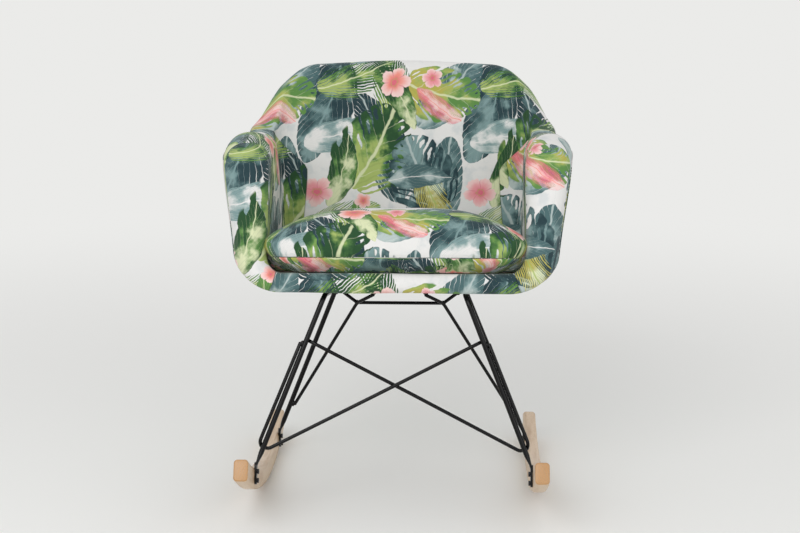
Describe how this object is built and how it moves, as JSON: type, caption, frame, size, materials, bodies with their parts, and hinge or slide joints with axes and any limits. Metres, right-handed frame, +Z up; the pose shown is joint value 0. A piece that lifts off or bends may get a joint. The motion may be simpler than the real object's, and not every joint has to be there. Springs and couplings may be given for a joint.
{
  "type": "rocking tub chair",
  "caption": "Padded tub rocking chair with a loose seat cushion, on a braced steel rod base that stands on curved wooden runners.",
  "frame": {"origin": "on the floor, midway between the two lines where the runners touch it when the empty chair is at rest", "axes": "+Z up, -Y the way that a sitter faces, +X to the right in the picture"},
  "size_m": [0.6826, 0.8041, 0.8155],
  "materials": {
    "varnished_beech": "satin",
    "black_steel": "gloss",
    "dark_screws": "satin",
    "plain_steel": "satin",
    "brass_inserts": "satin",
    "black_plastic": "matte",
    "moulded_shell": "matte",
    "foam": "matte",
    "printed_cloth": "matte",
    "black_cloth": "matte"
  },
  "bodies": {
    "chair": {"left_runner": "varnished_beech", "right_runner": "varnished_beech", "runner_screws": "dark_screws", "runner_inserts": "brass_inserts", "front_left_tab": "black_steel", "front_right_tab": "black_steel", "rear_left_tab": "black_steel", "rear_right_tab": "black_steel", "left_side_rod": "black_steel", "right_side_rod": "black_steel", "left_front_brace": "black_steel", "right_front_brace": "black_steel", "left_rear_strut": "black_steel", "right_rear_strut": "black_steel", "rear_tie_bar": "black_steel", "cross_rod": "black_steel", "mounting_plates": "black_steel", "seat_spacers": "black_plastic", "seat_screws": "dark_screws", "seat_washers": "plain_steel", "tee_nuts": "plain_steel", "tub_core": "moulded_shell", "outer_padding": "foam", "inner_padding": "foam", "outside_cover": "printed_cloth", "inside_cover": "printed_cloth", "underside_cloth": "black_cloth"},
    "seat_cushion": {"cushion_foam": "foam", "cushion_top_cover": "printed_cloth", "cushion_bottom_cover": "printed_cloth", "cushion_zip": "black_plastic"}
  },
  "joints": [
    {"name": "cushion_lift", "type": "slide", "parent": "chair", "child": "seat_cushion", "axis": [0, 0, 1], "range_m": [0, 0.42]}
  ]
}
